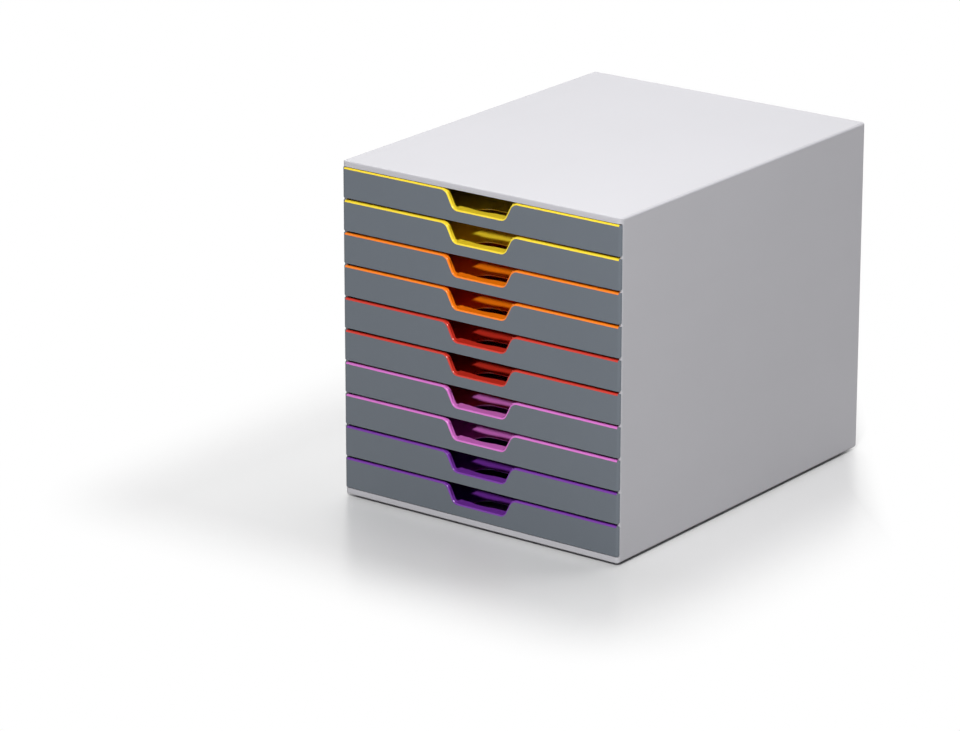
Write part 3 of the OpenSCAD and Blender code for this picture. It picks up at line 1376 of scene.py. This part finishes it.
@dataclass
class DrawerStack:
    """All the drawers: one tray and one cover, copied to each level."""

    finishes: tuple[Finish, ...] = (
        Finish.YELLOW,
        Finish.ORANGE,
        Finish.RED,
        Finish.PINK,
        Finish.PURPLE,
    )
    drawers_per_finish: int = 2

    def build(self, shop: PaintShop, count: int) -> None:
        """Builds and dresses every drawer.

        Args:
            shop: Where the finishes come from.
            count: The number of drawers.
        """
        front = node_box("front_cover_01")[0][1]
        outline = DrawerFront(front)
        cover = FrontCover(outline)
        cover_master = cover.model()
        tray_master = Tray(outline).model(cover)
        for number in range(1, count + 1):
            tag = f"{number:02d}"
            lift = node_box(f"front_cover_{tag}")[0][2]
            finish = self.finishes[(number - 1) // self.drawers_per_finish]
            body = f"drawer_{tag}"
            tray = tray_master.copy_to(f"tray_{tag}_moulding", lift)
            settle(tray, body, finish, shop, f"tray_{tag}")
            face = cover_master.copy_to(f"cover_{tag}_moulding", lift)
            settle(face, body, Finish.COVER, shop, f"front_cover_{tag}")
        cover_master.scrap()
        tray_master.scrap()


@dataclass(frozen=True)
class Softbox:
    """One rectangular lamp, its power in watts."""

    name: str
    place: Point
    aim: Point
    size: tuple[float, float]
    watts: float

    def hang(self) -> None:
        """Adds the lamp to the scene."""
        data = bpy.data.lights.new(self.name, "AREA")
        data.shape = "RECTANGLE"
        data.size, data.size_y = self.size[0] * MM, self.size[1] * MM
        data.energy = self.watts
        lamp = bpy.data.objects.new(self.name, data)
        lamp.location = Vector(self.place) * MM
        way = Vector(self.aim) - Vector(self.place)
        lamp.rotation_euler = way.to_track_quat("-Z", "Y").to_euler()
        bpy.context.scene.collection.objects.link(lamp)


@dataclass
class Studio:
    """The floor, the light and the camera. Angles are degrees."""

    azimuth: float = 36.88
    elevation: float = 18.45
    distance: float = 3894.0
    slide_right: float = -105.8
    slide_up: float = -49.4
    focal: float = 173.96
    sensor: float = 36.0
    aim_height: float = 147.5
    floor_half: float = 6000.0
    # The floor's grey for the light that it returns, and for the camera.
    floor_grey: float = 0.50
    floor_seen: float = 0.72
    floor_roughness: float = 0.25
    # Where the floor turns white to the camera, in metres, as its shader reads
    # them: past a rectangle round the tower, and to the right of its rear corner.
    fade_from: float = 0.005
    fade_to: float = 0.132
    footprint: tuple[float, float] = (0.208, 0.224)
    fade_centre: tuple[float, float] = (-0.034, -0.035)
    backdrop_from: float = 0.202
    backdrop_to: float = 0.235
    room_colour: Colour = (0.95, 0.97, 1.0)
    room_light: float = 0.02
    middle: Point = (0.0, 0.0, 150.0)

    def build(self) -> None:
        """Builds the whole studio."""
        self._camera()
        self._floor()
        self._world()
        for lamp in self._lamps():
            lamp.hang()

    def _camera(self) -> None:
        """Sets the camera where the photograph was taken from."""
        turn, rise = math.radians(self.azimuth), math.radians(self.elevation)
        back = Vector((math.sin(turn) * math.cos(rise), -math.cos(turn) * math.cos(rise), math.sin(rise)))
        right = Vector((math.cos(turn), math.sin(turn), 0))
        up = back.cross(right)
        place = Vector((0, 0, self.aim_height)) + back * self.distance
        place += right * self.slide_right + up * self.slide_up
        data = bpy.data.cameras.new("studio_camera")
        data.lens = self.focal
        data.sensor_width = self.sensor
        camera = bpy.data.objects.new("studio_camera", data)
        turned = Matrix((right, up, back)).transposed().to_4x4()
        camera.matrix_world = Matrix.Translation(place * MM) @ turned
        bpy.context.scene.collection.objects.link(camera)
        bpy.context.scene.camera = camera

    def _floor(self) -> None:
        """Lays a pale floor that keeps the shadows by the tower and shows white further out."""
        bpy.ops.object.select_all(action="DESELECT")
        bpy.ops.mesh.primitive_plane_add(size=2 * self.floor_half * MM)
        floor = bpy.context.active_object
        floor.name = "studio_floor"
        material = bpy.data.materials.new("studio_floor")
        material.use_nodes = True
        sheet = NodeSheet(material.node_tree)
        to_camera = sheet.add("LightPath").outputs["Is Camera Ray"]
        tone = sheet.add("Mix", data_type="RGBA")
        tone.inputs[6].default_value = (*[self.floor_grey] * 3, 1)
        tone.inputs[7].default_value = (*[self.floor_seen] * 3, 1)
        sheet.join(to_camera, tone.inputs[0])
        base = sheet.add("BsdfPrincipled")
        base.inputs["Roughness"].default_value = self.floor_roughness
        sheet.join(tone.outputs[2], base.inputs["Base Color"])
        white = sheet.add("Emission")
        both = sheet.add("MixShader")
        output = sheet.add("OutputMaterial")
        sheet.join(sheet.math("MULTIPLY", self._fade(sheet), to_camera), both.inputs[0])
        sheet.join(base.outputs[0], both.inputs[1])
        sheet.join(white.outputs[0], both.inputs[2])
        sheet.join(both.outputs[0], output.inputs["Surface"])
        floor.data.materials.append(material)

    def _fade(self, sheet: NodeSheet) -> bpy.types.NodeSocket:
        """Makes the floor's share of white, none beside the tower and all of it further out.

        Args:
            sheet: The floor's node tree.

        Returns:
            The share, from 0 to 1.
        """
        place = sheet.add("TexCoord").outputs["Object"]
        centred = sheet.vector("SUBTRACT", place, (*self.fade_centre, 0))
        folded = sheet.vector("ABSOLUTE", centred.outputs[0])
        beyond = sheet.vector("SUBTRACT", folded.outputs[0], (*self.footprint, 0))
        outside = sheet.vector("MAXIMUM", beyond.outputs[0], (0, 0, 0))
        reach = sheet.vector("LENGTH", outside.outputs[0])
        round_tower = sheet.soft_step(reach.outputs["Value"], self.fade_from, self.fade_to)
        turn = math.radians(self.azimuth)
        across = sheet.vector("DOT_PRODUCT", place, (math.cos(turn), math.sin(turn), 0))
        behind = sheet.soft_step(across.outputs["Value"], self.backdrop_from, self.backdrop_to)
        return sheet.math("MAXIMUM", round_tower, behind)

    def _world(self) -> None:
        """Fills the room with soft light, with white walls to see and to mirror."""
        world = bpy.data.worlds.new("studio_world")
        bpy.context.scene.world = world
        world.use_nodes = True
        sheet = NodeSheet(world.node_tree)
        room = sheet.add("Background")
        room.inputs["Color"].default_value = (*self.room_colour, 1)
        room.inputs["Strength"].default_value = self.room_light
        white = sheet.add("Background")
        white.inputs["Color"].default_value = (1, 1, 1, 1)
        white.inputs["Strength"].default_value = 1.0
        path = sheet.add("LightPath")
        pick = sheet.add("MixShader")
        output = sheet.add("OutputWorld")
        seen = sheet.math("MAXIMUM", path.outputs["Is Camera Ray"], path.outputs["Is Glossy Ray"])
        sheet.join(seen, pick.inputs[0])
        sheet.join(room.outputs[0], pick.inputs[1])
        sheet.join(white.outputs[0], pick.inputs[2])
        sheet.join(pick.outputs[0], output.inputs["Surface"])

    def _lamps(self) -> tuple[Softbox, ...]:
        """Gives the soft boxes, with the place, size and power of each."""
        aim = self.middle
        return (
            Softbox("key", (902, -1740, 1703), aim, (130, 130), 55),
            Softbox("overhead", (-350, 600, 2250), aim, (2000, 1300), 29.5),
            Softbox("back_left", (-1156, 1156, 1622), aim, (900, 900), 5),
            Softbox("back_right", (1051, 1252, 1622), aim, (900, 900), 10),
            Softbox("rear_panel", (-1500, 2200, 1312), (-1500, 0, 1312), (1200, 600), 0.4),
        )


def main() -> None:
    """Builds the tower's looks around the frame."""
    logging.basicConfig(level=logging.INFO, format="%(name)s: %(message)s")
    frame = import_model()
    bpy.context.scene.view_settings.view_transform = "Standard"
    Studio().build()
    shop = PaintShop()
    count = len(frame["joints"])
    Casing().build(shop)
    RunnerRacks().dress(shop, frame["nodes"])
    for end in ("front", "rear"):
        for side in Side:
            Foot(f"{end}_{side.name.lower()}_foot").build(shop)
    DrawerStack().build(shop, count)
    bpy.ops.object.select_all(action="DESELECT")


if __name__ == "__main__":
    main()
